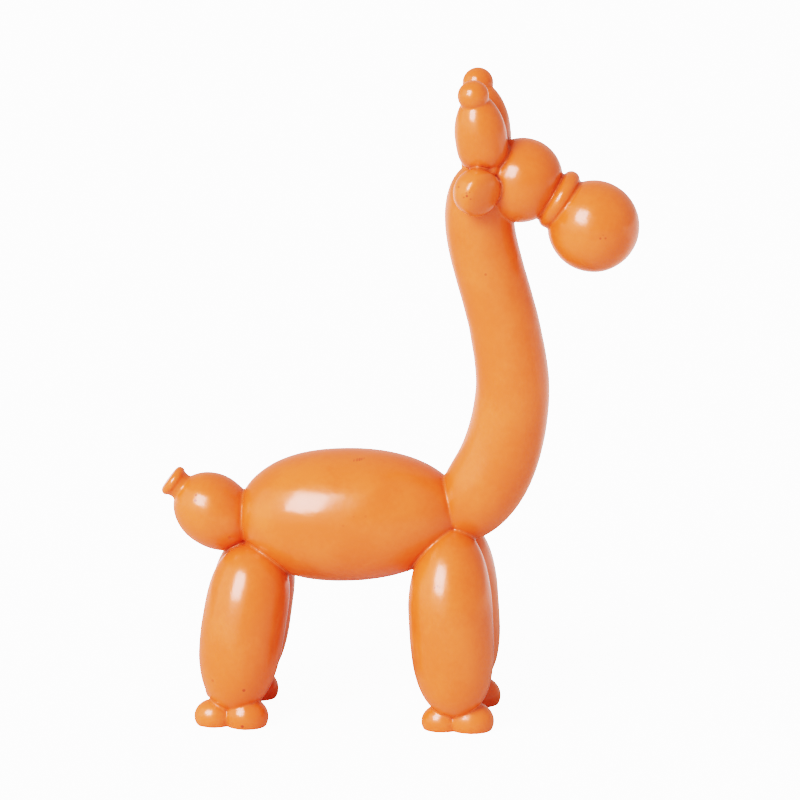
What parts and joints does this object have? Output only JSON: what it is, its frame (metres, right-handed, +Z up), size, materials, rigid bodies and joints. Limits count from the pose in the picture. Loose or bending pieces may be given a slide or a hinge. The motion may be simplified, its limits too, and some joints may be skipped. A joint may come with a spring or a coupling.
{
  "type": "balloon giraffe ornament",
  "caption": "Standing giraffe ornament cast in the form of a twisted balloon, with a long curved neck, round snout, bobbled horns, knotted tail and lobed feet, in glossy orange lacquer.",
  "frame": {"origin": "middle of the footprint box, on the plane of the soles", "axes": "+X from the tail towards the snout, +Y towards the animal's left side, +Z up"},
  "size_m": [0.2201, 0.0772, 0.3049],
  "materials": {
    "orange_lacquer": "smooth soft-gloss orange lacquer over cast resin"
  },
  "bodies": {
    "root": {"balloon_giraffe": "orange_lacquer"}
  },
  "joints": []
}
